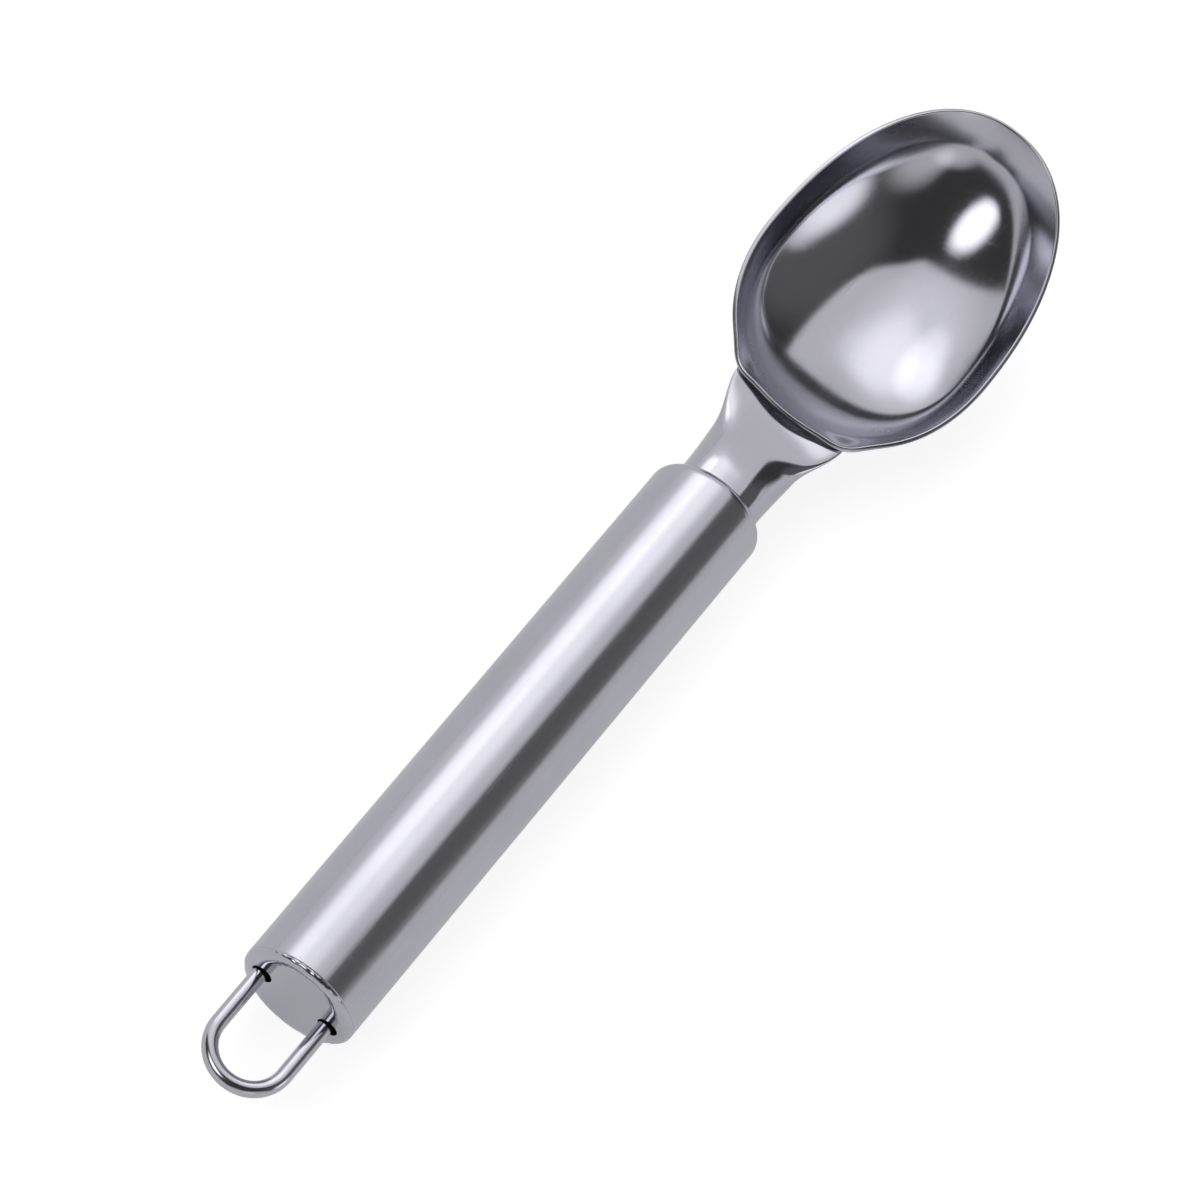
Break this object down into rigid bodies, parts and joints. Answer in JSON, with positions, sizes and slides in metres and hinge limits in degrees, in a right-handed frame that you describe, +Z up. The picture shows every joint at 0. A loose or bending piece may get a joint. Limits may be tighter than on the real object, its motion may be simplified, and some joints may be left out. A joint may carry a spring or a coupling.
{
  "type": "ice cream scoop",
  "caption": "All-metal ice cream scoop: an oval pressed bowl with a steep lip, a solid neck, a round tube handle with an end cap, and a wire loop for hanging that slides in the cap.",
  "frame": {"origin": "under the middle of the scoop's box, on the surface that the scoop lies on", "axes": "+X along the handle towards the bowl's tip, +Z up, out of the bowl's mouth"},
  "size_m": [0.2136, 0.0442, 0.0226],
  "materials": {
    "polished_steel": "polished",
    "satin_steel": "satin",
    "bright_wire": "polished"
  },
  "bodies": {
    "scoop": {"handle_tube": "satin_steel", "end_cap": "polished_steel", "neck": "polished_steel", "bowl": "polished_steel"},
    "loop": {"hanging_loop": "bright_wire"}
  },
  "joints": [
    {"name": "loop_slide", "type": "slide", "parent": "scoop", "child": "loop", "axis": [1, 0, 0], "range_m": [0, 0.0104]}
  ]
}
